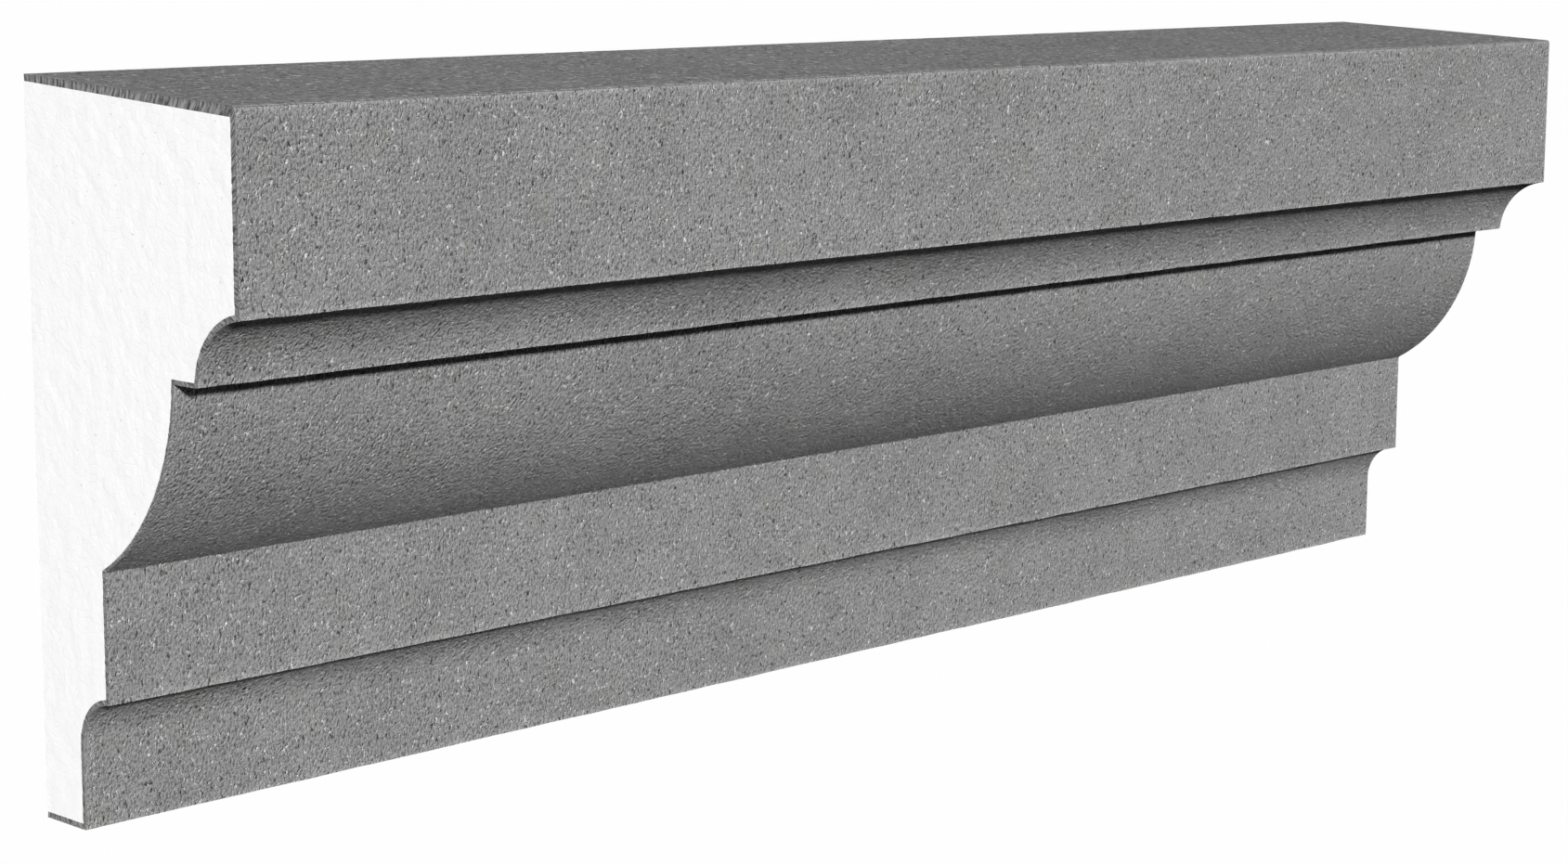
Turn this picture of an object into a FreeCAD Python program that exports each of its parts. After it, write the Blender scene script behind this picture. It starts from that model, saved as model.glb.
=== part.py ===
import FreeCAD, Part

# Exterior cornice moulding, one stock length.
# A white expanded-polystyrene core is cut to the profile with a hot wire, wrapped with
# glass-fibre mesh on its top, front and underside, and coated with cement mortar in two
# passes. The back stays bare, because it is bonded to the wall, and both ends are sawn
# square, so they show the white core with the thin grey coat around it.
#
# Millimetres. X runs along the moulding. The wall face lies in the plane Y = 0 and the
# profile projects towards -Y. +Z is up. The origin is the middle of the wall face.

import math
import os
from dataclasses import dataclass, replace

# ---- driving dimensions ----

LENGTH = 1000.0            # one stock length between the sawn ends
HEIGHT = 338.0             # finished height at the wall

MESH_THICKNESS = 0.4       # bedded glass-fibre mesh, about 160 g/m2
FINISH_THICKNESS = 0.7     # fine sanded second pass
CORE_DENSITY = 20.0        # kg/m3, facade-grade expanded polystyrene
MESH_DENSITY = 400.0       # kg/m3, 160 g/m2 over its own thickness
MORTAR_DENSITY = 1650.0    # kg/m3, polymer-modified cement mortar, dry


@dataclass(frozen=True)
class Profile:
    """The moulding's outline. Each y is a projection from the wall, each z a height over the foot."""

    top: float             # height of the weathered top at the wall
    fall: float            # slope of that top, which sheds rain forwards
    corona: float          # projection of the tall upper fascia
    cove_y: float          # centre of the large hollow under the corona
    cove_z: float
    cove_r: float
    step: float            # height of the narrow soffit between the cove and the ovolo
    ovolo_y: float         # centre of the bulging quarter-round
    ovolo_z: float
    ovolo_r: float
    fascia: float          # projection of the lower fascia
    small_cove_y: float    # centre of the small hollow under the lower fascia
    small_cove_z: float
    small_cove_r: float
    foot: float            # projection of the lowest fascia
    bottom: float          # height of the flat underside


# The sawn core, as the hot wire leaves it.
CORE = Profile(
    top=334.7, fall=0.0567, corona=151.4,
    cove_y=158.5, cove_z=208.2, cove_r=37.1, step=213.1,
    ovolo_y=0.0, ovolo_z=215.0, ovolo_r=105.4,
    fascia=49.4, small_cove_y=53.0, small_cove_z=39.3, small_cove_r=24.6,
    foot=28.4, bottom=2.9,
)

# The finished face. The mortar is drawn over the core with a template, which leaves it
# thickest on the top and the corona and thinnest round the ovolo.
FINISHED = Profile(
    top=HEIGHT, fall=0.0462, corona=155.0,
    cove_y=158.5, cove_z=208.2, cove_r=34.1, step=210.8,
    ovolo_y=0.0, ovolo_z=215.0, ovolo_r=107.2,
    fascia=52.1, small_cove_y=53.0, small_cove_z=39.3, small_cove_r=21.8,
    foot=31.0, bottom=0.0,
)


def grown(profile, thickness):
    """The same outline with a skin added all round, or taken off when the thickness is negative."""
    return replace(
        profile,
        top=profile.top + thickness,
        corona=profile.corona + thickness,
        cove_r=profile.cove_r - thickness,
        step=profile.step - thickness,
        ovolo_r=profile.ovolo_r + thickness,
        fascia=profile.fascia + thickness,
        small_cove_r=profile.small_cove_r - thickness,
        foot=profile.foot + thickness,
        bottom=profile.bottom - thickness,
    )


def other_side(radius, leg):
    """The second leg of a right triangle with this hypotenuse."""
    return math.sqrt(max(radius * radius - leg * leg, 0.0))


def place(x, y, z):
    """A profile point in the part's own frame."""
    return FreeCAD.Vector(x, -y, z - HEIGHT / 2)


def arc(x, centre, radius, start, end):
    """The arc about a centre from one profile point to another, the short way round."""
    mid_y = (start[0] + end[0]) / 2 - centre[0]
    mid_z = (start[1] + end[1]) / 2 - centre[1]
    reach = radius / math.hypot(mid_y, mid_z)
    middle = place(x, centre[0] + mid_y * reach, centre[1] + mid_z * reach)
    return Part.Arc(place(x, *start), middle, place(x, *end)).toShape()


def line(x, start, end):
    return Part.LineSegment(place(x, *start), place(x, *end)).toShape()


def outline(p, x):
    """The closed outline of a profile in the plane at x, from the wall over the top and back."""
    cove = (p.cove_y, p.cove_z)
    ovolo = (p.ovolo_y, p.ovolo_z)
    small_cove = (p.small_cove_y, p.small_cove_z)

    top_back = (0.0, p.top)
    top_front = (p.corona, p.top - p.fall * p.corona)
    corona_foot = (p.corona, p.cove_z + other_side(p.cove_r, p.cove_y - p.corona))
    lip = (p.cove_y - other_side(p.cove_r, p.step - p.cove_z), p.step)
    ovolo_head = (p.ovolo_y + other_side(p.ovolo_r, p.step - p.ovolo_z), p.step)
    ovolo_foot = (p.fascia, p.ovolo_z - other_side(p.ovolo_r, p.fascia - p.ovolo_y))
    fascia_foot = (p.fascia, p.small_cove_z + other_side(p.small_cove_r, p.small_cove_y - p.fascia))
    foot_head = (p.foot, p.small_cove_z + other_side(p.small_cove_r, p.small_cove_y - p.foot))
    foot_front = (p.foot, p.bottom)
    foot_back = (0.0, p.bottom)

    return Part.Wire([
        line(x, top_back, top_front),
        line(x, top_front, corona_foot),
        arc(x, cove, p.cove_r, corona_foot, lip),
        line(x, lip, ovolo_head),
        arc(x, ovolo, p.ovolo_r, ovolo_head, ovolo_foot),
        line(x, ovolo_foot, fascia_foot),
        arc(x, small_cove, p.small_cove_r, fascia_foot, foot_head),
        line(x, foot_head, foot_front),
        line(x, foot_front, foot_back),
        line(x, foot_back, top_back),
    ])


def prism(profile):
    """A solid stock length with this outline."""
    face = Part.Face(outline(profile, -LENGTH / 2))
    return face.extrude(FreeCAD.Vector(LENGTH, 0, 0))


def skin(outer, inner):
    """The layer between two outlines. It stops at the wall, so it is open behind."""
    return prism(outer).cut(prism(inner))


MESH_FACE = grown(CORE, MESH_THICKNESS)
BASE_FACE = grown(FINISHED, -FINISH_THICKNESS)


def eps_core():
    """White polystyrene block cut to the profile."""
    return prism(CORE)


def glass_mesh():
    """Reinforcing mesh stuck to the core. The mortar fills its windows, so it is one thin sheet."""
    return skin(MESH_FACE, CORE)


def base_coat():
    """First pass of mortar, which fills out the profile."""
    return skin(BASE_FACE, MESH_FACE)


def finish_coat():
    """Second pass: the grey sanded skin that shows."""
    return skin(FINISHED, BASE_FACE)


PARTS = {
    "eps_core": (eps_core, CORE_DENSITY),
    "glass_mesh": (glass_mesh, MESH_DENSITY),
    "base_coat": (base_coat, MORTAR_DENSITY),
    "finish_coat": (finish_coat, MORTAR_DENSITY),
}

MM3_PER_M3 = 1e9

os.makedirs("parts", exist_ok=True)
total_mass = 0.0
for node, (make, density) in PARTS.items():
    shape = make()
    mass = shape.Volume / MM3_PER_M3 * density
    total_mass += mass
    box = shape.BoundBox
    print(f"{node}: solids {len(shape.Solids)}, valid {shape.isValid()}, mass {mass:.3f} kg, "
          f"{box.XLength:.1f} x {box.YLength:.1f} x {box.ZLength:.1f} mm")
    shape.exportStep(f"parts/{node}.step")
print(f"total mass {total_mass:.3f} kg")
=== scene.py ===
# %% [markdown]
# # A metre of façade cornice moulding
#
# The real piece starts as a block of white expanded polystyrene. A hot wire follows a template along it and
# leaves the profile. Glass-fibre mesh is laid over the shaped faces, cement mortar is drawn over the mesh,
# and a thin finish of fine sand and cement closes the surface. The back stays bare, because it is glued to
# the wall, and both ends are sawn square so that lengths can be butted together.
#
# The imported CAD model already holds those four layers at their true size. It is loaded first and never
# moved; everything below is fitted to it.

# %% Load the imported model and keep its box
import math

import bmesh
import bpy
import numpy as np
from mathutils import Matrix, Vector


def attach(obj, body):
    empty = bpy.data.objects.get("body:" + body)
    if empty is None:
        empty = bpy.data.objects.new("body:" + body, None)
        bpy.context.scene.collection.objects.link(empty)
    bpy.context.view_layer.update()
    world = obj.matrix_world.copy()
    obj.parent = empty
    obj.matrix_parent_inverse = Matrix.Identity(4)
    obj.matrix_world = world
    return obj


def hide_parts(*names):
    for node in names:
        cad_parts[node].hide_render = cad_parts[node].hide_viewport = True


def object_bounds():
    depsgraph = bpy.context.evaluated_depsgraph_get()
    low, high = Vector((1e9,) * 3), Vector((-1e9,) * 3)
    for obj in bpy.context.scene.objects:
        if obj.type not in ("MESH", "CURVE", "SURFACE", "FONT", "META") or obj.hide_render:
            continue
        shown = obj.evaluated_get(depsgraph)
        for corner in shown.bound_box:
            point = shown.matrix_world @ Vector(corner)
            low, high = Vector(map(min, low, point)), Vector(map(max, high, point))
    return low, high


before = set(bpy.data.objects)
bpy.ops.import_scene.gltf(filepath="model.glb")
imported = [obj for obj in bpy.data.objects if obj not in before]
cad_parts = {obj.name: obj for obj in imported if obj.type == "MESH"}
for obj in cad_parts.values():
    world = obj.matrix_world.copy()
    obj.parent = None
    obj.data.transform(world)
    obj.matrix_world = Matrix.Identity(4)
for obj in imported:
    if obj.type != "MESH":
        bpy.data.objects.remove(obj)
cad_low, cad_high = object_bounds()
MM = 0.001  # one millimetre in metres
LEFT, RIGHT = cad_low.x, cad_high.x
print("CAD box, mm:", [round(size / MM, 1) for size in cad_high - cad_low])

# %% [markdown]
# ## Reading the section off the CAD solids
#
# Each layer is one cross-section pushed along the length, so its sawn end says everything about its shape.
# Copying numbers out of the CAD source would work once and go wrong at the next change. Instead the rim of
# each node's left end is walked, corner by corner, starting at the top of the wall face.

# %% Walk round a node's sawn end
SAME_CORNER = 0.001 * MM  # points nearer to each other than this are one corner
ON_FACE = 0.01 * MM  # points this near a flat face lie on it


def rim_of(node):
    """The (y, z) corners of a node's left end, in order, from the top of its wall face towards the front."""
    solid = bmesh.new()
    solid.from_mesh(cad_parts[node].data)
    bmesh.ops.remove_doubles(solid, verts=solid.verts, dist=SAME_CORNER)
    cut = {face for face in solid.faces if all(v.co.x < LEFT + ON_FACE for v in face.verts)}
    beside = {}
    for edge in solid.edges:
        if sum(face in cut for face in edge.link_faces) == 1:
            one, other = edge.verts
            beside.setdefault(one, []).append(other)
            beside.setdefault(other, []).append(one)
    last = max(beside, key=lambda v: v.co.z)
    here = min(beside[last], key=lambda v: v.co.y)
    walked = [last, here]
    while len(walked) < len(beside):
        last, here = here, next(v for v in beside[here] if v is not last)
        walked.append(here)
    corners = np.array([(v.co.y, v.co.z) for v in walked])
    solid.free()
    return corners


print("corners round the core's end:", len(rim_of("eps_core")))

# %% Part a coat's rim into its outer and inner path
def skin_paths(node):
    """A coat's outer and inner path, each from the top of the wall face, round the front, to its foot."""
    rim = rim_of(node)
    on_wall = np.flatnonzero(np.abs(rim[:, 0]) < ON_FACE)
    outer = rim[: on_wall[1] + 1]
    inner = rim[on_wall[1] + 1 :][::-1]
    return outer, inner


finish_outer, finish_inner = skin_paths("finish_coat")
mesh_outer, mesh_inner = skin_paths("glass_mesh")
core_path = rim_of("eps_core")
print("corners on the finish's outer face:", len(finish_outer))

# %% [markdown]
# ## True arcs from short chords
#
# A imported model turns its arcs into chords, and at about ten degrees a chord the big quarter round would
# show facets. The profile is only straight runs and circular arcs, so it can be put back exactly: the path
# is split wherever it turns sharply or its chords change length, and each curved run gets the circle
# through three of its points.

# %% Find where a path breaks into runs
SHARP = math.radians(16)  # a corner turns by more than this, and two chords of one arc by less
UNEVEN = 1.2  # two neighbouring chords of one arc differ in length by less than this ratio


def turn_at(path, i):
    """How far the path turns at its corner i, in radians; positive is round an outside corner."""
    (ay, az), (by, bz) = path[i] - path[i - 1], path[i + 1] - path[i]
    return math.atan2(ay * bz - az * by, ay * by + az * bz)


def along(points):
    """The distance from the path's start to each of its points."""
    return np.concatenate([[0], np.cumsum(np.hypot(*np.diff(points, axis=0).T))])


def breaks_in(path):
    """The numbers of the path's points where one straight or curved run ends and the next begins."""
    chords = np.diff(along(path))
    uneven = np.maximum(chords[:-1], chords[1:]) / np.minimum(chords[:-1], chords[1:]) > UNEVEN
    inner = [i for i in range(1, len(path) - 1) if abs(turn_at(path, i)) > SHARP or uneven[i - 1]]
    return [0, *inner, len(path) - 1]


print("runs round the finish:", len(breaks_in(finish_outer)) - 1)

# %% Trace each run finely
TRACE_STEP = 0.2 * MM


def fine_run(run):
    """A run's points, close together and without its first: along a line, or round its circle."""
    if len(run) == 2:
        count = max(2, round(math.dist(*run) / TRACE_STEP))
        share = np.linspace(0, 1, count + 1)[1:, None]
        return run[0] + share * (run[1] - run[0])
    a, b = run[len(run) // 2] - run[0], run[-1] - run[0]
    centre = run[0] + np.linalg.solve(2 * np.array([a, b]), [a @ a, b @ b])
    spokes = run - centre
    angles = np.unwrap(np.arctan2(spokes[:, 1], spokes[:, 0]))
    radius = np.hypot(*spokes[0])
    count = round(radius * abs(angles[-1] - angles[0]) / TRACE_STEP)
    sweep = np.linspace(angles[0], angles[-1], count + 1)[1:]
    return centre + radius * np.column_stack([np.cos(sweep), np.sin(sweep)])


def traced(path):
    """The path as closely spaced points, and (place along it, turn) for each of its corners."""
    points, corners = path[:1], []
    breaks = breaks_in(path)
    for first, end in zip(breaks, breaks[1:]):
        if first and abs(turn_at(path, first)) > SHARP:
            corners.append((along(points)[-1], turn_at(path, first)))
        points = np.vstack([points, fine_run(path[first : end + 1])])
    return points, corners


outline, corners = traced(finish_outer)
outline_run = along(outline)
for place, turn in corners:
    print("corner", round(place / MM, 1), "mm along the finish turns", round(math.degrees(turn)), "degrees")

# %% [markdown]
# ## Rounding the arrises
#
# Mortar never holds a knife edge. Trowel and sanding float wear the long top arris back by about two
# millimetres on either side, and it is this round that catches a line of light along the top of the piece.
# The other arrises lose half a millimetre, and inside corners keep a fillet of the same size, where the
# float could not reach. A quadratic curve between two points on either side of the corner is enough for all
# of them.

# %% Round the corners
TOP_ARRIS, ARRIS, FILLET = 2.2 * MM, 0.5 * MM, 0.5 * MM  # a round's reach on either side of its corner
TOP_WIDTH = 200 * MM  # the top front arris is the only corner this near to the path's start


def reach_of(corner, turn):
    """How far the round at a corner reaches on either side of it."""
    if turn < 0:
        return FILLET
    return TOP_ARRIS if corner < TOP_WIDTH else ARRIS


def spots_at(points, run, places):
    """The path's points at these places; run is how far along each of its own points lies."""
    return np.column_stack([np.interp(places, run, axis) for axis in points.T])


def eased(points, corners):
    """The traced path with each corner replaced by a small round."""
    places = along(points)
    soft = points.copy()
    for corner, turn in corners:
        reach = reach_of(corner, turn)
        inside = np.abs(places - corner) < reach
        t = ((places[inside] - corner) / reach + 1)[:, None] / 2
        start, tip, end = spots_at(points, places, corner + np.array([-reach, 0, reach]))
        soft[inside] = (1 - t) ** 2 * start + 2 * t * (1 - t) * tip + t**2 * end
    return soft


soft_outline = eased(outline, corners)
print("developed width of the finish, mm:", round(along(soft_outline)[-1] / MM, 1))

# %% Lay out stations along a path, and find which way is out
ROUND_STEPS = (-1, -0.6, -0.3, 0, 0.3, 0.6, 1)  # where a round gets its stations, in parts of its reach
ROUND_MARGIN = 0.6 * MM  # even stations nearer than this to a round are left out
NORMAL_REACH = 0.25 * MM  # a normal is measured over this much of the path on either side


def stations(length, corners, spacing):
    """Places along a path: even steps, with a closer set over each corner's round."""
    evenly = np.linspace(0, length, round(length / spacing) + 1)
    rounds = [(corner, reach_of(corner, turn)) for corner, turn in corners]
    close = [corner + reach * step for corner, reach in rounds for step in ROUND_STEPS]
    clear = [s for s in evenly if all(abs(s - corner) > reach + ROUND_MARGIN for corner, reach in rounds)]
    return np.array(sorted(clear + close))


def normals_at(points, run, places):
    """Which way is out from the path at these places."""
    way = spots_at(points, run, places + NORMAL_REACH) - spots_at(points, run, places - NORMAL_REACH)
    way = way / np.linalg.norm(way, axis=1)[:, None]
    return np.column_stack([way[:, 1], -way[:, 0]])


FACE_STEP = 3.0 * MM
finish_places = stations(outline_run[-1], corners, FACE_STEP)
print("stations round the finish:", len(finish_places))

# %% [markdown]
# ## One mesh builder for a coat
#
# A coat is a closed skin: its outer face, its inner face, two sawn ends and two thin edges on the wall
# face. Lofting between two curves would do, but a plain grid of points gives full control of where the
# vertices go: many on the outer face, which the light rakes, and none in the middle of the hidden inner
# face.
#
# A map called "developed" lays the coat flat, with metres along the length and metres round the profile, so
# marks made across the saw cut can be drawn in a material.

# %% Turn points and faces into a piece
CRISP = math.radians(50)  # faces that meet at more than this keep a crisp edge between them


def new_piece(name, points, faces):
    """A piece with this name in the scene, smooth but for its crisp edges."""
    mesh = bpy.data.meshes.new(name)
    mesh.from_pydata(points.tolist(), [], faces)
    mesh.shade_smooth()
    mesh.set_sharp_from_angle(angle=CRISP)
    piece = bpy.data.objects.new(name, mesh)
    bpy.context.scene.collection.objects.link(piece)
    return piece


def quads(numbers):
    """The four corners of every square in a grid of point numbers."""
    a = numbers
    return np.stack([a[:-1, :-1], a[1:, :-1], a[1:, 1:], a[:-1, 1:]], -1).reshape(-1, 4).tolist()


print("a grid of 3 by 4 points has", len(quads(np.arange(12).reshape(3, 4))), "squares")

# %% Lay a coat's points flat for its pattern
def lay_flat(mesh, points, outer, rings, places):
    """Adds the "developed" map; each end's rings lie past the end, as far out as they go in."""
    columns, rows = outer.shape[:2]
    on_face, on_ends = points[: columns * rows], points[columns * rows :]
    rims = np.concatenate([np.tile(outer[end], (rings, 1)) for end in (0, -1)])
    past_left, past_right = np.split(np.linalg.norm(on_ends - rims, axis=1), 2)
    run = np.concatenate([on_face[:, 0], LEFT - past_left, RIGHT + past_right]) - LEFT
    flat = np.column_stack([run, np.tile(places, columns + 2 * rings)])
    point_of = np.zeros(len(mesh.loops), np.int32)
    mesh.loops.foreach_get("vertex_index", point_of)
    developed = mesh.uv_layers.new(name="developed")
    developed.uv.foreach_set("vector", flat[point_of].astype(np.float32).ravel())


def placed(x, spots):
    """Flat (y, z) points stood up at x."""
    return np.column_stack([np.broadcast_to(x, len(spots)), spots])


print("the map runs from 0 to", round(RIGHT - LEFT, 3), "m, and past both ends by the width of a sawn rim")

# %% Build a coat from its outer grid and its end rings
def coat(name, outer, left_rings, right_rings, places):
    """A closed coat. outer is a grid of points, length by profile; the rings go in over the sawn ends."""
    columns, rows = outer.shape[:2]
    rings = len(left_rings)
    points = np.concatenate([outer.reshape(-1, 3), *left_rings, *right_rings])
    grid = np.arange(columns * rows).reshape(columns, rows)
    left = np.arange(rings * rows).reshape(rings, rows) + grid.size
    left, right = np.vstack([grid[:1], left]), np.vstack([grid[-1:], left + left.size])
    outside = quads(grid)
    ends = quads(left[::-1]) + quads(right)
    inside = quads(np.stack([right[-1], left[-1]]))
    wall_edges = [list(grid[:, j]) + list(right[1:, j]) + list(left[:0:-1, j]) for j in (0, -1)]
    wall_edges[0].reverse()
    piece = new_piece(name, points, outside + ends + inside + wall_edges)
    sawn = np.zeros(len(piece.data.polygons), np.int32)
    sawn[len(outside) : len(outside) + len(ends)] = 1
    sawn[-2:] = 1
    piece.data.polygons.foreach_set("material_index", sawn)
    lay_flat(piece.data, points, outer, rings, places)
    piece.data.validate()
    return piece


print("the coats will run from x =", round(LEFT, 3), "to", round(RIGHT, 3))

# %% Waves, marks and sawn ends that every coat can use
SHEET_LENGTH, SHEET_WIDTH = 1.4, 1.0  # metres: a flat sheet on which any coat fits with room to spare
SAW_DEPTH, SAW_TEAR = 0.14 * MM, 0.13 * MM  # how far a sawn end is set back, and how much that varies
TEAR_LENGTH = 1.3 * MM  # from one tear to the next
RING_SHIFT = 0.8 * MM  # how much the tears have changed by the innermost ring


def smooth_noise(across, up, size, seed):
    """Gentle random waves, between -1 and 1, over a flat sheet; one swell is about `size` long."""
    counts = int(SHEET_LENGTH / size) + 4, int(SHEET_WIDTH / size) + 4
    knots = np.random.default_rng(seed).uniform(-1, 1, counts)
    u, v = (across - LEFT) / size + 1, up / size + 1
    i, j = np.floor(u).astype(int), np.floor(v).astype(int)
    fu, fv = u - i, v - j
    fu, fv = fu * fu * (3 - 2 * fu), fv * fv * (3 - 2 * fv)
    low = knots[i, j] * (1 - fu) + knots[i + 1, j] * fu
    high = knots[i, j + 1] * (1 - fu) + knots[i + 1, j + 1] * fu
    return low * (1 - fv) + high * fv


def mark(piece, name, values):
    """Stores one number at each point of a piece's outer face, for its material to read; the rest get 0."""
    layer = piece.data.attributes.new(name, "FLOAT", "POINT")
    every = np.zeros(len(piece.data.vertices), np.float32)
    every[: values.size] = values.ravel()
    layer.data.foreach_set("value", every)


def sawn_rings(end, outer_spots, inner_spots, places, steps, seed):
    """Rings of points from the outer to the inner path over a sawn end, with the saw's unevenness."""
    inwards = 1 if end == LEFT else -1
    rings = []
    for share in np.linspace(0, 1, steps + 1)[1:]:
        spots = outer_spots + share * (inner_spots - outer_spots)
        torn = SAW_DEPTH + SAW_TEAR * smooth_noise(LEFT + share * RING_SHIFT, places, TEAR_LENGTH, seed)
        rings.append(placed(end + inwards * torn, spots))
    return rings


def opposite(places, path_corners, run, other_corners, other_run):
    """The places on a neighbouring path that face these ones, corner to corner."""
    marks = [0, *(s for s, _ in path_corners), run[-1]]
    other_marks = [0, *(s for s, _ in other_corners), other_run[-1]]
    return np.interp(places, marks, other_marks)


print("a saw tear is at most", round((SAW_DEPTH + SAW_TEAR) / MM, 2), "mm deep")

# %% [markdown]
# ## The finish coat
#
# Sand and cement, 0.7 mm thick, drawn on by hand. Its face is never quite flat: long swells from the
# drawing board, shorter ones from the float, and arrises that lose a little here and there. A displacement
# modifier could make the swells, but it knows nothing of the arrises. Here every dip is worked out and
# taken off inwards, so the piece keeps its size, and no dip goes deeper than 0.4 mm.

# %% Finish coat: waves in the face and worn arrises
MEAN_DIP, DEEPEST = 0.15, 0.4  # mm below the CAD face: on average, and at most
WAVES = ((90, 0.07, 1), (28, 0.05, 2), (9, 0.03, 3))  # a wave's length and depth in mm, and its seed
WEAR, WEAR_SWING = 0.12, 0.22  # mm more off an arris, and how much that varies along it
WEAR_LENGTH, WEAR_WIDTH = 14 * MM, 2.2 * MM  # of one worn stretch, and how far it reaches from the arris
lengths = np.linspace(LEFT, RIGHT, round((RIGHT - LEFT) / FACE_STEP) + 1)
across, up = lengths[:, None], finish_places[None, :]
arrises = [corner for corner, turn in corners if turn > 0]
dip = MEAN_DIP + sum(depth * smooth_noise(across, up, size * MM, seed) for size, depth, seed in WAVES)
for arris in arrises:
    nearness = np.exp(-(((up - arris) / WEAR_WIDTH) ** 2))
    worn = WEAR + WEAR_SWING * smooth_noise(across, np.full_like(up, arris), WEAR_LENGTH, seed=4)
    dip = dip + nearness * np.clip(worn, 0, None)
dip = np.clip(dip, 0, DEEPEST) * MM
finish_spots = spots_at(soft_outline, outline_run, finish_places)
finish_normals = normals_at(soft_outline, outline_run, finish_places)
face = finish_spots - dip[..., None] * finish_normals
face[:, [0, -1], 0] = 0.0
outer_grid = np.dstack([np.broadcast_to(across, dip.shape), face])
print("worn arrises:", len(arrises), "and the deepest dip, mm:", round(dip.max() / MM, 2))

# %% Finish coat: the piece
base_trace, base_corners = traced(finish_inner)
base_run = along(base_trace)
soft_base = eased(base_trace, base_corners)
facing = opposite(finish_places, corners, outline_run, base_corners, base_run)
inner_spots = spots_at(soft_base, base_run, facing)
finish = coat(
    "sanded_finish",
    outer_grid,
    sawn_rings(LEFT, face[0], inner_spots, finish_places, steps=1, seed=5),
    sawn_rings(RIGHT, face[-1], inner_spots, finish_places, steps=1, seed=6),
    finish_places,
)
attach(finish, "root")
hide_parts("finish_coat")
print("finish coat:", len(finish.data.polygons), "faces")

# %% [markdown]
# ## Where the finish is rubbed and highlighted, and where it is dragged
#
# Hands, trowel and packing rub the arrises and the sawn rims. The paler band drawn there is partly that wear
# and partly painted highlight, the line of light that the rounds catch. On the top the board is dragged
# further than on the upright faces. A material can't know where an arris is, so both are worked out here
# from the distance to it, and stored on the mesh as numbers between 0 and 1 for the material to read.

# %% Mark the rubbed and highlighted edges and the dragged top
# The rubbing below is partly real wear and partly painted highlight: the paler band stands in for the light
# that the rounded arrises and sawn rims catch.
ARRIS_RUB_HIGHLIGHT, END_RUB_HIGHLIGHT = 1.9 * MM, 2.0 * MM  # how far the rubbing reaches from an arris, and from a sawn end
END_SHARE = 0.3  # an end is rubbed this much, where an arris counts as 1
RUB_HIGHLIGHT_MEAN, RUB_HIGHLIGHT_SWING, RUB_HIGHLIGHT_LENGTH = 0.75, 0.25, 6 * MM  # how it comes and goes, and over what length
rubbed_and_highlit = sum(np.exp(-(((up - arris) / ARRIS_RUB_HIGHLIGHT) ** 2)) for arris in arrises)
for from_end in (across - LEFT, RIGHT - across):
    rubbed_and_highlit = rubbed_and_highlit + END_SHARE * np.exp(-((from_end / END_RUB_HIGHLIGHT) ** 2))
rubbed_and_highlit = np.clip(rubbed_and_highlit, 0, 1) * (RUB_HIGHLIGHT_MEAN + RUB_HIGHLIGHT_SWING * smooth_noise(across, up, RUB_HIGHLIGHT_LENGTH, seed=9))
dragged = np.broadcast_to(up < corners[0][0], dip.shape)
mark(finish, "rubbed_and_highlit", rubbed_and_highlit)
mark(finish, "dragged", dragged)
print("share of the face on the dragged top:", round(float(dragged.mean()), 2))

# %% [markdown]
# ## The base coat
#
# One to three millimetres of cement mortar under the finish. Only its sawn edge shows, as the grey band
# round the white core. The saw drags sand out of it, which leaves short grooves across the band, so the end
# rings are close together and each is set back by its own small amount. The mortar reaches in through the
# openings of the glass mesh, so its inner face is the core's own surface.

# %% Base coat with its torn edge
EDGE_STEP, EDGE_RINGS = 1.0 * MM, 5
BASE_SET_BACK = 0.1 * MM  # the base's rim is set in from the sawn end by this much
core_trace, core_corners = traced(core_path)
core_run = along(core_trace)
evenly = np.linspace(0, base_run[-1], round(base_run[-1] / EDGE_STEP))
base_places = np.array(sorted({*evenly, *(s for s, _ in base_corners)}))
base_spots = spots_at(soft_base, base_run, base_places)
facing = opposite(base_places, base_corners, base_run, core_corners, core_run)
core_spots = spots_at(core_trace, core_run, facing)
base = coat(
    "base_mortar",
    np.stack([placed(x, base_spots) for x in (LEFT + BASE_SET_BACK, RIGHT - BASE_SET_BACK)]),
    sawn_rings(LEFT, base_spots, core_spots, base_places, EDGE_RINGS, seed=7),
    sawn_rings(RIGHT, base_spots, core_spots, base_places, EDGE_RINGS, seed=8),
    base_places,
)
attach(base, "root")
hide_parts("base_coat")
print("base coat:", len(base.data.polygons), "faces")

# %% [markdown]
# ## The glass-fibre mesh
#
# An open fabric of glass yarns, one every 5 mm each way. It is leno woven: the yarns that run along the
# length go in pairs, one outside and one inside each yarn that runs round the profile, so the openings
# can't slide shut. The mortar fills it from both sides and hides it. Curves with a bevel would give round
# wires, but a yarn is a flat bundle of fine filaments, so each is a ribbon with a lens-shaped section,
# swept along its path. Its ends stop just short of the sawn faces and the wall face.

# %% A yarn as a swept ribbon
YARN_SPACING, SHORT = 5.0 * MM, 0.35 * MM  # from yarn to yarn, and how far short of a face a yarn stops
WRAP_SIZE, PAIR_SIZE = (0.9 * MM, 0.14 * MM), (0.5 * MM, 0.1 * MM)  # width and thickness
PAIR_GAP = 0.35 * MM  # half the distance between the two yarns of a pair
lens = np.radians(np.arange(0, 360, 60))  # six corners of a circle, which the two sizes flatten into a lens


def ribbon(centres, sides, outs, size):
    """A yarn's points and faces; sides and outs are unit vectors across it and out of it at each centre."""
    width, thickness = size
    flat_part = np.cos(lens)[:, None] * sides[:, None] * width / 2
    thick_part = np.sin(lens)[:, None] * outs[:, None] * thickness / 2
    points = (centres[:, None] + flat_part + thick_part).reshape(-1, 3)
    numbers = np.arange(len(points)).reshape(len(centres), len(lens))
    closed = np.column_stack([numbers, numbers[:, 0]])
    caps = [numbers[0, ::-1].tolist(), numbers[-1].tolist()]
    return points, [[a, d, c, b] for a, b, c, d in quads(closed)] + caps


print("a yarn's section has", len(lens), "corners")

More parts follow.
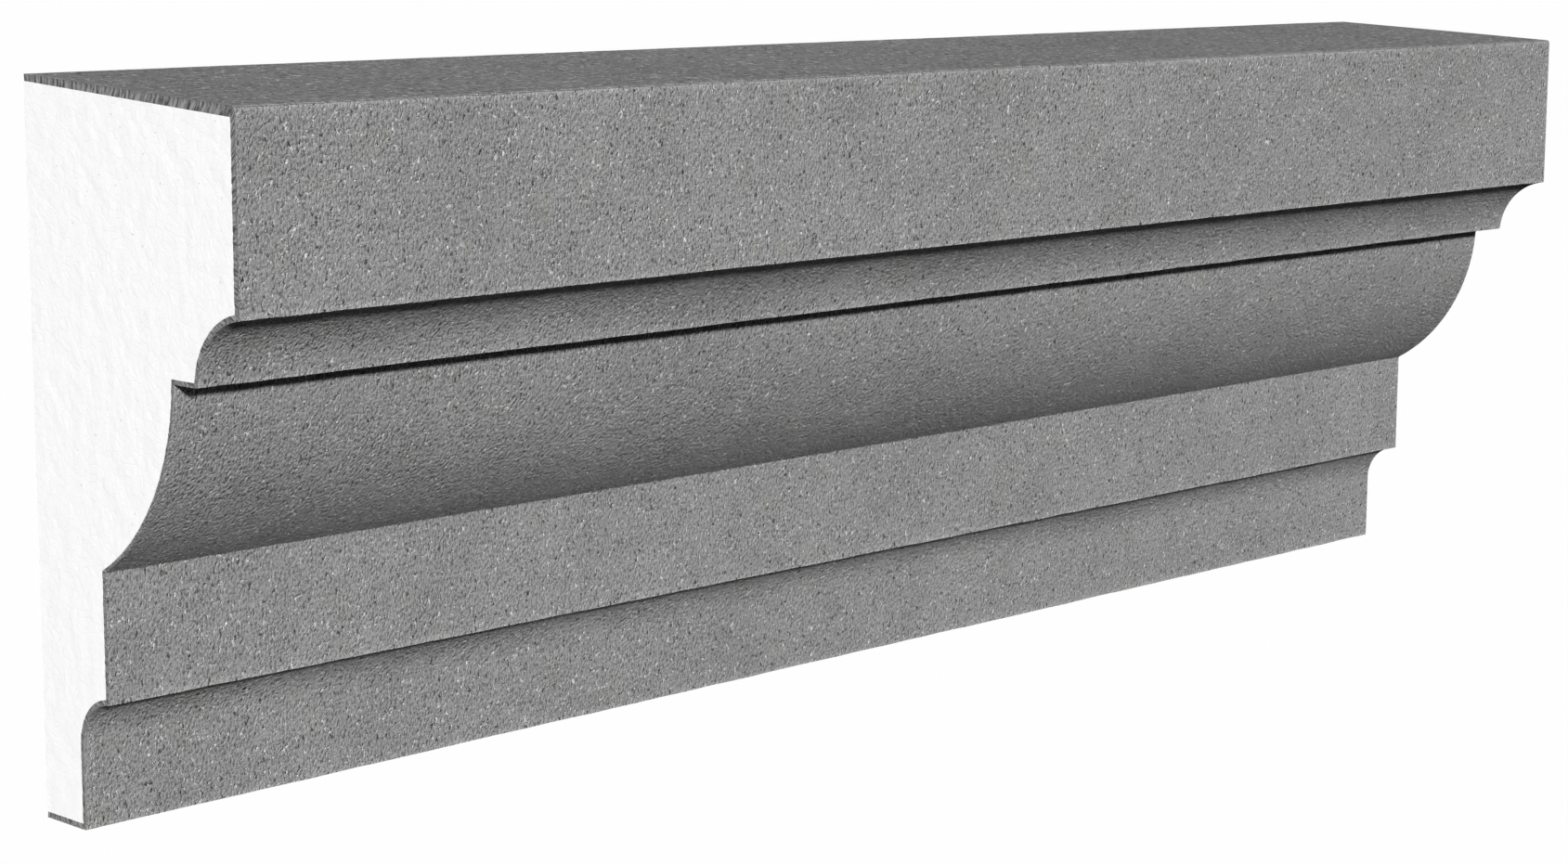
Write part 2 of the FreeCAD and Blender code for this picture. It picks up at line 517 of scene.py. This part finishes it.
# %% Glass-fibre mesh: wraps round the profile, pairs along the length
mesh_path = (mesh_outer + mesh_inner) / 2
mesh_path[[0, -1], 0] -= SHORT
mesh_run = along(mesh_path)
wrap_outs = placed(0.0, normals_at(mesh_path, mesh_run, mesh_run))
wrap_sides = np.tile([1.0, 0, 0], (len(mesh_path), 1))
yarns = []
for x in np.arange(LEFT + YARN_SPACING / 2, RIGHT, YARN_SPACING):
    yarns.append(ribbon(placed(x, mesh_path), wrap_sides, wrap_outs, WRAP_SIZE))
for place in np.arange(YARN_SPACING / 2, mesh_run[-1] - SHORT, YARN_SPACING):
    for way in (-1, 1):
        beside = np.array([place + way * PAIR_GAP])
        spot, out = (find(mesh_path, mesh_run, beside)[0] for find in (spots_at, normals_at))
        spot = spot + way * (WRAP_SIZE[1] + PAIR_SIZE[1]) / 2 * out
        centres = np.array([(end, *spot) for end in (LEFT + SHORT, RIGHT - SHORT)])
        outs = np.tile([0, *out], (2, 1))
        yarns.append(ribbon(centres, np.cross(outs, [1.0, 0, 0]), outs, PAIR_SIZE))
starts = np.cumsum([0] + [len(points) for points, _ in yarns]).tolist()
fabric = new_piece(
    "glass_mesh_yarns",
    np.concatenate([points for points, _ in yarns]),
    [[start + number for number in face] for start, (_, faces) in zip(starts, yarns) for face in faces],
)
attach(fabric, "root")
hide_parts("glass_mesh")
print("glass mesh:", len(yarns), "yarns,", len(fabric.data.polygons), "faces")

# %% [markdown]
# ## Materials: one helper
#
# Every finish below is made of nodes. One small function adds a node, sets it up and links what feeds it,
# and one turns a colour picked on screen (sRGB hex) into the linear numbers that the shader works with. A
# socket is given by its name, or by its number where two share a name: on a colour Mix, 6 and 7 are the two
# colours. Where a node takes many sockets, they are listed first, under the name that its output then gets.

# %% Colour and node helpers
def linear(hex_colour):
    """An sRGB hex colour as linear red, green, blue and alpha."""
    parts = [int(hex_colour[i : i + 2], 16) / 255 for i in (1, 3, 5)]
    return [c / 12.92 if c <= 0.04045 else ((c + 0.055) / 1.055) ** 2.4 for c in parts] + [1.0]


def add(tree, kind, sockets=(), stops=(), **settings):
    """Adds one node: settings are its options, stops the (place, hex) colours of a ramp, from low to high,
    and sockets maps each input to a value or to what feeds it."""
    node = tree.nodes.new("ShaderNode" + kind)
    for option, value in settings.items():
        setattr(node, option, value)
    for _ in stops[2:]:
        node.color_ramp.elements.new(0.5)
    for knob, (place, hex_colour) in zip(node.color_ramp.elements if stops else (), stops):
        knob.position, knob.color = place, linear(hex_colour)
    for socket, value in dict(sockets).items():
        if isinstance(value, bpy.types.NodeSocket):
            tree.links.new(value, node.inputs[socket])
        else:
            node.inputs[socket].default_value = value
    return node


def new_material(name):
    """An empty node material and its tree."""
    material = bpy.data.materials.new(name)
    material.use_nodes = True
    material.node_tree.nodes.clear()
    return material, material.node_tree


print("mid grey in linear light:", round(linear("#808080")[0], 3))

# %% [markdown]
# ## Sanded cement finish
#
# Cement and sieved sand, spread thin and rubbed with a damp float. That gives the eye an even grey with no
# gloss, broken by a field of short ridges and hollows, with a few pale sand grains and torn pits. The ridges
# are drawn paler as painted highlight, and the hollows and pits darker as painted shade.
# The marks run the way the float went: up and down on the upright faces. A picture of real mortar would
# repeat or smear; noise worked out at each point does neither.
#
# Cement has an IOR of about 1.5. Roughness is near the top of its range, because the fine pores scatter
# light.

# %% Sanded cement finish: the sizes of its marks, in mm
SAND = 0.65  # the finish's sand is sieved to about this
COARSER = 2  # single grains are too fine to show in the picture, so they are drawn twice as coarse
GRAIN = SAND * COARSER
RIDGE = 1.85  # from one pushed-up ridge to the next; really nearer 1, and drawn coarser to show
BREAK = 2.4  # how long a ridge runs before it breaks off: three or four sand grains
PIT = 2.8  # there is room for one torn-out grain in each square of this size
SPECK = 8.0  # there is at most one pale quartz grain in each square of this size
PATCH = 16.0  # the float leaves livelier and calmer patches about as wide as a thumb
STAIN = 24.0  # fine mortar dries in spots about this wide, some a little warmer
CLOUD = 70.0  # and darker and lighter clouds about a hand wide
UPRIGHT = 1.5  # on upright faces, a mark is this many times as tall as it is wide
DRAG, SPREAD = 3.0, 1.7  # on the top, it is stretched this much from wall to front, and along the length
print("sand grains are drawn", GRAIN, "mm across")

# %% Sanded cement finish: a map stretched the way the float went
sanded, tree = new_material("sanded cement finish")
metres = add(tree, "TexCoord").outputs["Object"]
mm = add(tree, "VectorMath", {0: metres, "Scale": 1 / MM}, operation="SCALE").outputs["Vector"]
laid = add(tree, "UVMap", uv_map="developed").outputs["UV"]
dragged = add(tree, "Attribute", attribute_name="dragged").outputs["Fac"]
down = {"Value": dragged, "To Min": 1 / MM / UPRIGHT, "To Max": 1 / MM / DRAG}
down = add(tree, "MapRange", down).outputs[0]
sideways = {"Value": dragged, "To Min": 1 / MM, "To Max": 1 / MM / SPREAD}
sideways = add(tree, "MapRange", sideways).outputs[0]
per_metre = add(tree, "CombineXYZ", {"X": sideways, "Y": down}).outputs[0]
floated = add(tree, "VectorMath", {0: laid, 1: per_metre}, operation="MULTIPLY").outputs["Vector"]
print("nodes so far:", len(tree.nodes))

# %% [markdown]
# Smooth noise passes through its middle value along winding lines. Where it is close to that value there is
# a thin line, and a second noise breaks the lines into short strokes: these are the ridges of sand that a
# float pushes up.

# %% Sanded cement finish: grain and broken ridges
MIDDLE, RIDGE_WIDTH = 0.5, 0.075  # noise values: a ridge is where its noise is this near the middle
BROKEN_BELOW, WHOLE_ABOVE = 0.40, 0.53  # noise values between which a ridge fades in
CALM, LIVELY = 0.8, 1.2  # how strong the marks are in a calm and in a lively patch
CALM_BELOW, LIVELY_ABOVE = 0.35, 0.65  # noise values of the two
sand = add(tree, "TexNoise", {"Vector": floated, "Scale": 1 / GRAIN, "Detail": 1.0, "Roughness": 0.5})
grain = sand.outputs["Fac"]
ridge = {"Vector": floated, "Scale": 1 / RIDGE, "Detail": 0.0, "Distortion": 0.5}
ridge = add(tree, "TexNoise", ridge).outputs["Fac"]
off_line = add(tree, "Math", {0: ridge, 1: MIDDLE}, operation="SUBTRACT").outputs[0]
off_line = add(tree, "Math", {0: off_line}, operation="ABSOLUTE").outputs[0]
line = {"Value": off_line, "From Max": RIDGE_WIDTH, "To Min": 1.0, "To Max": 0.0}
line = add(tree, "MapRange", line, interpolation_type="SMOOTHSTEP").outputs[0]
broken = add(tree, "TexNoise", {"Vector": floated, "Scale": 1 / BREAK, "Detail": 1.0}).outputs["Fac"]
broken = {"Value": broken, "From Min": BROKEN_BELOW, "From Max": WHOLE_ABOVE}
broken = add(tree, "MapRange", broken).outputs[0]
stroke = add(tree, "Math", {0: line, 1: broken}, operation="MULTIPLY").outputs[0]
patch = add(tree, "TexNoise", {"Vector": mm, "Scale": 1 / PATCH, "Detail": 1.0}).outputs["Fac"]
lively = {"Value": patch, "From Min": CALM_BELOW, "From Max": LIVELY_ABOVE, "To Min": CALM, "To Max": LIVELY}
lively = add(tree, "MapRange", lively).outputs[0]
print("nodes so far:", len(tree.nodes))

# %% Sanded cement finish: torn pits and pale grains
PIT_PUSH = 2.4  # mm: the grain noise pushes a pit's outline about by up to this, so that it isn't round
PIT_HEART, PIT_RIM = 0.05, 0.3  # in parts of PIT: where a pit is at its deepest, and where it ends
# Each pit draws a number from 0 to 1. Below the first of these there is none, above the second a full one.
NO_PIT, FULL_PIT = 0.05, 0.65
SPECK_HEART, SPECK_RIM = 0.025, 0.085  # in parts of SPECK, as for a pit
push = {0: sand.outputs["Color"], 1: (PIT_PUSH, PIT_PUSH, 0), 2: floated}
push = add(tree, "VectorMath", push, operation="MULTIPLY_ADD").outputs[0]
holes = add(tree, "TexVoronoi", {"Vector": push, "Scale": 1 / PIT})
hollow = holes.outputs["Distance"]
hollow = {"Value": hollow, "From Min": PIT_HEART, "From Max": PIT_RIM, "To Min": 1.0, "To Max": 0.0}
hollow = add(tree, "MapRange", hollow, interpolation_type="SMOOTHSTEP").outputs[0]
some = add(tree, "SeparateColor", {0: holes.outputs["Color"]}).outputs[0]
some = add(tree, "MapRange", {"Value": some, "From Min": NO_PIT, "From Max": FULL_PIT}).outputs[0]
# A pit is sunk into the relief below and also drawn dark in the colour, #404040; that dark is painted shade
# in the hole.
pit_and_shade = add(tree, "Math", {0: hollow, 1: some}, operation="MULTIPLY").outputs[0]
speck = add(tree, "TexVoronoi", {"Vector": floated, "Scale": 1 / SPECK}).outputs["Distance"]
speck = {"Value": speck, "From Min": SPECK_HEART, "From Max": SPECK_RIM, "To Min": 1.0, "To Max": 0.0}
speck = add(tree, "MapRange", speck, interpolation_type="SMOOTHSTEP").outputs[0]
for mark_name, apart, rim in (("pit_and_shade", PIT, PIT_RIM), ("pale grain", SPECK, SPECK_RIM)):
    print("a", mark_name, "is up to", round(2 * apart * rim, 1), "mm across")

# %% Sanded cement finish: relief
RELIEF = 1.6 * MM  # for the whole swing of the grain noise, of which most grains use about a third
RIDGE_HEIGHT, PIT_DEPTH, SPECK_HEIGHT = 0.4, 0.45, 0.2  # in parts of RELIEF
height = {0: stroke, 1: RIDGE_HEIGHT, 2: grain}
height = add(tree, "Math", height, operation="MULTIPLY_ADD").outputs[0]
height = add(tree, "Math", {0: height, 1: lively}, operation="MULTIPLY").outputs[0]
height = add(tree, "Math", {0: pit_and_shade, 1: -PIT_DEPTH, 2: height}, operation="MULTIPLY_ADD").outputs[0]
height = add(tree, "Math", {0: speck, 1: SPECK_HEIGHT, 2: height}, operation="MULTIPLY_ADD").outputs[0]
relief = add(tree, "Bump", {"Height": height, "Distance": RELIEF, "Strength": 1.0}).outputs["Normal"]
print("relief, mm:", RELIEF / MM)

# %% Sanded cement finish: colour
WARM_ABOVE, WARMEST_ABOVE, WARMEST = 0.62, 0.75, 0.35  # noise values of a warm spot, and how strong it gets
# A fully rubbed edge is drawn paler: partly real wear, partly painted highlight.
RUB_HIGHLIGHT = 0.6  # how far a fully rubbed edge goes towards its pale colour
cloud = add(tree, "TexNoise", {"Vector": mm, "Scale": 1 / CLOUD, "Detail": 3.0}).outputs["Fac"]
dried = [(0.3, "#8a8a8a"), (0.7, "#959595")]
colour = add(tree, "ValToRGB", {"Fac": cloud}, stops=dried).outputs[0]
warm = add(tree, "TexNoise", {"Vector": mm, "Scale": 1 / STAIN, "Detail": 2.0}).outputs["Fac"]
warm = {"Value": warm, "From Min": WARM_ABOVE, "From Max": WARMEST_ABOVE, "To Max": WARMEST}
warm = add(tree, "MapRange", warm).outputs[0]
colour = {"Factor": warm, 6: colour, 7: linear("#8e8c84")}
colour = add(tree, "Mix", colour, data_type="RGBA").outputs[2]
# Painted shade: the low places of the grain, its hollows, are drawn darker, as shade would darken them.
hollow_shade = [(0.3, "#bababa"), (0.48, "#eeeeee"), (0.7, "#ffffff")]  # the hollows between grains are darker
hollow_shade = add(tree, "ValToRGB", {"Fac": grain}, stops=hollow_shade).outputs[0]
colour = {"Factor": 1.0, 6: colour, 7: hollow_shade}
colour = add(tree, "Mix", colour, data_type="RGBA", blend_type="MULTIPLY").outputs[2]
# Painted highlight: the ridges of sand are drawn paler, #c6c6c6, where light would catch them.
pale = add(tree, "Math", {0: stroke, 1: lively}, operation="MULTIPLY", use_clamp=True).outputs[0]
# Painted highlight, partly real wear: rubbed arrises and sawn rims are drawn paler, #b0b0b0.
rubbed_and_highlit = add(tree, "Attribute", attribute_name="rubbed_and_highlit").outputs["Fac"]
rubbed_and_highlit = add(tree, "Math", {0: rubbed_and_highlit, 1: RUB_HIGHLIGHT}, operation="MULTIPLY").outputs[0]
# Mixed over the body: the ridges' pale as painted highlight, rubbed edges as wear and painted highlight,
# pits as painted shade, and pale quartz grains in their own colour.
for where, shown in ((pale, "#c6c6c6"), (rubbed_and_highlit, "#b0b0b0"), (pit_and_shade, "#404040"), (speck, "#c6c6c4")):
    colour = {"Factor": where, 6: colour, 7: linear(shown)}
    colour = add(tree, "Mix", colour, data_type="RGBA").outputs[2]
print("nodes so far:", len(tree.nodes))

# %% Sanded cement finish: shader
surface = {"Base Color": colour, "Normal": relief, "Roughness": 0.92, "IOR": 1.5, "Specular IOR Level": 0.25}
surface = add(tree, "BsdfPrincipled", surface).outputs[0]
add(tree, "OutputMaterial", {"Surface": surface})
finish.data.materials.append(sanded)
print(sanded.name, "has", len(tree.nodes), "nodes")

# %% [markdown]
# ## Sawn mortar
#
# Cement mortar cut with a coarse saw. The cut is rough and holds its own small shadows, so the eye sees the
# same cement a shade darker, in uneven bars. The bars run across the band, so the pattern is squeezed along
# the profile and stretched through the thickness. IOR is that of cement again, and roughness a little
# higher than the finish's.

# %% Sawn mortar: groove pattern, colour and shader
GROOVE = 1.6  # mm from groove to groove: two or three sand grains are torn out together
GROOVE_LENGTH = 7.0  # mm: longer than the coat is thick, so that a groove crosses it
GROOVE_DEPTH = 0.4 * MM
sawn, tree = new_material("sawn base mortar")
laid = add(tree, "UVMap", uv_map="developed").outputs["UV"]
squeezed = {0: laid, 1: (1 / MM / GROOVE_LENGTH, 1 / MM / GROOVE, 0)}
squeezed = add(tree, "VectorMath", squeezed, operation="MULTIPLY").outputs[0]
groove = add(tree, "TexNoise", {"Vector": squeezed, "Scale": 1.0, "Detail": 2.0}).outputs["Fac"]
bars = [(0.38, "#484848"), (0.48, "#707070"), (0.6, "#8e8e8e")]
colour = add(tree, "ValToRGB", {"Fac": groove}, stops=bars).outputs[0]
relief = add(tree, "Bump", {"Height": groove, "Distance": GROOVE_DEPTH, "Strength": 1.0}).outputs["Normal"]
surface = {"Base Color": colour, "Normal": relief, "Roughness": 0.95, "IOR": 1.5, "Specular IOR Level": 0.2}
surface = add(tree, "BsdfPrincipled", surface).outputs[0]
add(tree, "OutputMaterial", {"Surface": surface})
finish.data.materials.append(sawn)
for _ in range(2):  # the base's face and its sawn edge
    base.data.materials.append(sawn)
print(sawn.name, "has", len(tree.nodes), "nodes")

# %% [markdown]
# ## Expanded polystyrene
#
# Beads of foam steamed together until they touch. A hot wire melts its way through and leaves a satin white
# face, on which the flattened beads show only as a faint mosaic, with tiny gaps where several meet. The
# wire wavers a little, which leaves shallow ripples drawn out along the length. Polystyrene itself has an
# IOR of 1.59, but the face is a thin skin over air, so a lower value is used; the skin is smoother than
# mortar, so it is less rough.

# %% Expanded polystyrene: beads, gaps and ripples
BEAD = 4.2  # mm: steamed beads are three to five across
GAP = 9.0  # mm: there is at most one open gap in each cube of this size
RIPPLE, RIPPLE_LENGTH = 11.0, 250.0  # mm: from ripple to ripple, and how long one runs
SEAM_WIDTH = 0.075  # in parts of BEAD
GAP_HEART, GAP_RIM = 0.03, 0.07  # in parts of GAP
RIPPLE_DEPTH, SEAM_DEPTH = 0.5 * MM, 0.05 * MM
foam, tree = new_material("hot-wire cut polystyrene")
metres = add(tree, "TexCoord").outputs["Object"]
mm = add(tree, "VectorMath", {0: metres, "Scale": 1 / MM}, operation="SCALE").outputs["Vector"]
seam = {"Vector": mm, "Scale": 1 / BEAD}
seam = add(tree, "TexVoronoi", seam, feature="DISTANCE_TO_EDGE").outputs["Distance"]
seam = {"Value": seam, "From Max": SEAM_WIDTH, "To Min": 1.0, "To Max": 0.0}
seam = add(tree, "MapRange", seam).outputs[0]
colour = add(tree, "ValToRGB", {"Fac": seam}, stops=[(0.0, "#f1f1f1"), (1.0, "#eeeeee")]).outputs[0]
# Painted shade: the open gaps where beads meet are drawn darker, #cdcdca, for the shade inside them.
gap_shade = add(tree, "TexVoronoi", {"Vector": mm, "Scale": 1 / GAP}).outputs["Distance"]
gap_shade = {"Value": gap_shade, "From Min": GAP_HEART, "From Max": GAP_RIM, "To Min": 1.0, "To Max": 0.0}
gap_shade = add(tree, "MapRange", gap_shade).outputs[0]
colour = {"Factor": gap_shade, 6: colour, 7: linear("#cdcdca")}
colour = add(tree, "Mix", colour, data_type="RGBA").outputs[2]
drawn_out = {0: mm, 1: (1 / RIPPLE_LENGTH, 1 / RIPPLE, 1 / RIPPLE)}
drawn_out = add(tree, "VectorMath", drawn_out, operation="MULTIPLY").outputs[0]
ripple = add(tree, "TexNoise", {"Vector": drawn_out, "Scale": 1.0, "Detail": 2.0}).outputs["Fac"]
relief = add(tree, "Bump", {"Height": ripple, "Distance": RIPPLE_DEPTH}).outputs["Normal"]
relief = {"Height": seam, "Distance": -SEAM_DEPTH, "Normal": relief}
relief = add(tree, "Bump", relief).outputs["Normal"]
print("nodes so far:", len(tree.nodes))

# %% Expanded polystyrene: shader, on the core as the CAD made it
surface = {"Base Color": colour, "Normal": relief, "Roughness": 0.6, "IOR": 1.45, "Specular IOR Level": 0.2}
surface = add(tree, "BsdfPrincipled", surface).outputs[0]
add(tree, "OutputMaterial", {"Surface": surface})
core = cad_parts["eps_core"]
core.data.materials.clear()
core.data.materials.append(foam)
print(foam.name, "has", len(tree.nodes), "nodes")

# %% [markdown]
# ## Sized glass-fibre yarn
#
# Alkali-resistant glass, drawn into filaments and dipped in an acrylic size that holds them together. The
# size gives the eye a soft, milky sheen in place of the sparkle of bare glass, so roughness is in the
# middle of its range, and IOR is that of glass, 1.55. The mortar hides all of it, so one noise at filament
# scale is enough.

# %% Sized glass-fibre yarn
FILAMENT = 0.2  # mm: a real filament is about a tenth of this, too fine to show, so it is drawn coarser
FILAMENT_DEPTH = 0.03 * MM
glass, tree = new_material("sized glass-fibre yarn")
metres = add(tree, "TexCoord").outputs["Object"]
mm = add(tree, "VectorMath", {0: metres, "Scale": 1 / MM}, operation="SCALE").outputs["Vector"]
strand = add(tree, "TexNoise", {"Vector": mm, "Scale": 1 / FILAMENT, "Detail": 2.0}).outputs["Fac"]
colour = add(tree, "ValToRGB", {"Fac": strand}, stops=[(0.35, "#cfd2d0"), (0.65, "#eceeec")]).outputs[0]
relief = add(tree, "Bump", {"Height": strand, "Distance": FILAMENT_DEPTH}).outputs["Normal"]
surface = {"Base Color": colour, "Normal": relief, "Roughness": 0.45, "IOR": 1.55}
surface = add(tree, "BsdfPrincipled", surface).outputs[0]
add(tree, "OutputMaterial", {"Surface": surface})
fabric.data.materials.append(glass)
print(glass.name, "has", len(tree.nodes), "nodes")

# %% [markdown]
# ## Floor and sky
#
# The piece is shown on plain white, as a catalogue would. A white floor close under it would throw light up
# into the hollows and flatten them, so the floor lies well below, glows by itself and lights nothing. The
# sky gives a little light from above the horizon only, and to the camera it looks as white as the floor, so
# that no horizon shows.

# %% Floor
FLOOR_DROP, FLOOR_REACH = 0.6, 40.0  # metres: below the piece, and from its middle to each edge
PAPER_WHITE = linear("#fefefe")
level = cad_low.z - FLOOR_DROP
edge_signs = ((-1, -1), (1, -1), (1, 1), (-1, 1))
floor_mesh = bpy.data.meshes.new("studio_floor")
floor_corners = [(x * FLOOR_REACH, y * FLOOR_REACH, level) for x, y in edge_signs]
floor_mesh.from_pydata(floor_corners, [], [(0, 1, 2, 3)])
floor = bpy.data.objects.new("studio_floor", floor_mesh)
bpy.context.scene.collection.objects.link(floor)
white, tree = new_material("white studio floor")
glow = add(tree, "Emission", {"Color": PAPER_WHITE, "Strength": 1.0}).outputs[0]
add(tree, "OutputMaterial", {"Surface": glow})
floor_mesh.materials.append(white)
floor.visible_diffuse = False
floor.visible_glossy = False
floor.visible_shadow = False
print("floor at z =", round(level, 3), "m")

# %% Sky
SKY_LIGHT = 0.17  # strength, a small part of the key lamp's
SKY_FROM, SKY_FULL = -0.02, 0.05  # the sky's light fades in between these heights, as a share of straight up
world = bpy.data.worlds.new("soft studio")
bpy.context.scene.world = world
world.use_nodes = True
tree = world.node_tree
tree.nodes.clear()
is_camera = add(tree, "LightPath").outputs["Is Camera Ray"]
way = add(tree, "TexCoord").outputs["Generated"]
tall = add(tree, "SeparateXYZ", {0: way}).outputs["Z"]
above = add(tree, "MapRange", {"Value": tall, "From Min": SKY_FROM, "From Max": SKY_FULL}).outputs[0]
strength = add(tree, "Math", {0: above, 1: SKY_LIGHT}, operation="MULTIPLY").outputs[0]
sky = add(tree, "Background", {"Color": linear("#ffffff"), "Strength": strength}).outputs[0]
backdrop = add(tree, "Background", {"Color": PAPER_WHITE, "Strength": 1.0}).outputs[0]
mixed = add(tree, "MixShader", {0: is_camera, 1: sky, 2: backdrop}).outputs[0]
add(tree, "OutputWorld", {"Surface": mixed})
print("sky light:", SKY_LIGHT)

# %% [markdown]
# ## Lamps
#
# Distant lamps light a long piece evenly from end to end, which a lamp close by would not. The key lamp
# stands in front, to the left and a little above, so that it grazes the coves and draws a hard shadow under
# each overhang. A wide, soft lamp fills the sawn left end, and one behind gives the wall face and the right
# end their own light, and touches neither the front nor the top.

# %% Lamps
LAMPS = {  # the direction each is seen in, its strength, and how many degrees wide its disc is
    "key_lamp": ((-0.48, -1.0, 0.375), 4.26, 5),
    "end_lamp": ((-1.0, 0.02, 0.05), 1.45, 40),
    "back_lamp": ((1.0, 0.9, -0.12), 3.2, 12),
}
for name, (towards, power, width) in LAMPS.items():
    lamp = bpy.data.lights.new(name, "SUN")
    lamp.energy = power
    lamp.angle = math.radians(width)
    holder = bpy.data.objects.new(name, lamp)
    holder.rotation_euler = Vector(towards).to_track_quat("Z", "Y").to_euler()
    bpy.context.scene.collection.objects.link(holder)
print("lamps:", ", ".join(LAMPS))

# %% [markdown]
# ## Camera
#
# A long lens, not quite two metres from the middle of the piece, looking slightly down at the sawn left end
# and along the front. The view transform is Standard, which shows a colour as it is given; a film-like
# transform would grey the white.

# %% Camera
LENS, SENSOR = 75.313, 36.0  # mm
STANDPOINT = (-1.30033, -1.25356, 0.24509)  # metres
TURN, DOWN, ROLL = -45.576, 9.192, 0.240  # degrees: to the right, below level, and about its own axis
CLIP = 0.05, 200.0  # metres
lens_and_film = bpy.data.cameras.new("camera")
lens_and_film.lens, lens_and_film.sensor_width = LENS, SENSOR
lens_and_film.clip_start, lens_and_film.clip_end = CLIP
camera = bpy.data.objects.new("camera", lens_and_film)
turns = ((TURN, "Z"), (90 - DOWN, "X"), (ROLL, "Z"))
look = Matrix.Identity(4)
for degrees, axis in turns:
    look = look @ Matrix.Rotation(math.radians(degrees), 4, axis)
camera.matrix_world = Matrix.Translation(STANDPOINT) @ look
bpy.context.scene.collection.objects.link(camera)
bpy.context.scene.camera = camera
bpy.context.scene.view_settings.view_transform = "Standard"
print("camera to the piece's middle, m:", round(math.dist(STANDPOINT, (cad_low + cad_high) / 2), 2))
